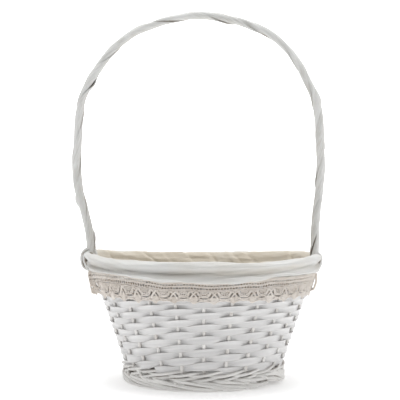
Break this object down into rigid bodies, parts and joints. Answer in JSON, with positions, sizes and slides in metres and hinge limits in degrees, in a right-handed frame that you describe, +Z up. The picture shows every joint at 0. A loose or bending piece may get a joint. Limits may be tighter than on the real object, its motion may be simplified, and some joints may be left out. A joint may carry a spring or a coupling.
{
  "type": "flower girl basket",
  "caption": "Small round white willow basket on a woven foot, with a tall roped hoop handle, a gathered cotton liner turned over the rim and a cotton lace trim; holds flower petals.",
  "frame": {"origin": "centre of the foot's underside, on the surface that the basket stands on", "axes": "+Z up; the hoop handle stands in the XZ plane, with its legs at +X and -X; the front of the basket faces -Y"},
  "size_m": [0.2524, 0.2344, 0.3663],
  "materials": {
    "painted_split_willow": "white paint over flat split willow, satin, with grain showing",
    "painted_willow_rod": "white paint over round willow, worn to beige in the crevices",
    "handle_willow": "off-white paint over flat willow strips, satin",
    "liner_cotton": "plain woven cotton, off-white, matt",
    "lace_cotton": "cotton lace, unbleached beige, matt"
  },
  "bodies": {
    "root": {"base_band_01": "painted_willow_rod", "base_band_02": "painted_willow_rod", "base_band_03": "painted_willow_rod", "base_band_04": "painted_willow_rod", "base_split_stick_01": "painted_willow_rod", "base_split_stick_02": "painted_willow_rod", "base_split_stick_03": "painted_willow_rod", "base_threaded_stick_01": "painted_willow_rod", "base_threaded_stick_02": "painted_willow_rod", "base_threaded_stick_03": "painted_willow_rod", "foot_border": "painted_willow_rod", "foot_wale": "painted_willow_rod", "handle_bow": "handle_willow", "handle_rope_strip_01": "handle_willow", "handle_rope_strip_02": "handle_willow", "lace_trim": "lace_cotton", "lashing_left_back": "handle_willow", "lashing_left_front": "handle_willow", "lashing_right_back": "handle_willow", "lashing_right_front": "handle_willow", "liner_bottom": "liner_cotton", "liner_side": "liner_cotton", "rim_border": "painted_willow_rod", "stake_01": "painted_willow_rod", "stake_02": "painted_willow_rod", "stake_03": "painted_willow_rod", "stake_04": "painted_willow_rod", "stake_05": "painted_willow_rod", "stake_06": "painted_willow_rod", "stake_07": "painted_willow_rod", "stake_08": "painted_willow_rod", "stake_09": "painted_willow_rod", "stake_10": "painted_willow_rod", "stake_11": "painted_willow_rod", "stake_12": "painted_willow_rod", "stake_13": "painted_willow_rod", "stake_14": "painted_willow_rod", "stake_15": "painted_willow_rod", "stake_16": "painted_willow_rod", "stake_17": "painted_willow_rod", "stake_18": "painted_willow_rod", "stake_19": "painted_willow_rod", "stake_20": "painted_willow_rod", "stake_21": "painted_willow_rod", "stake_22": "painted_willow_rod", "stake_23": "painted_willow_rod", "stake_24": "painted_willow_rod", "weaver_01": "painted_split_willow", "weaver_02": "painted_split_willow", "weaver_03": "painted_split_willow", "weaver_04": "painted_split_willow", "weaver_05": "painted_split_willow", "weaver_06": "painted_split_willow", "weaver_07": "painted_split_willow", "weaver_08": "painted_split_willow", "weaver_09": "painted_split_willow", "weaver_10": "painted_split_willow", "weaver_11": "painted_split_willow", "weaver_12": "painted_split_willow", "weaver_13": "painted_split_willow"}
  },
  "joints": []
}
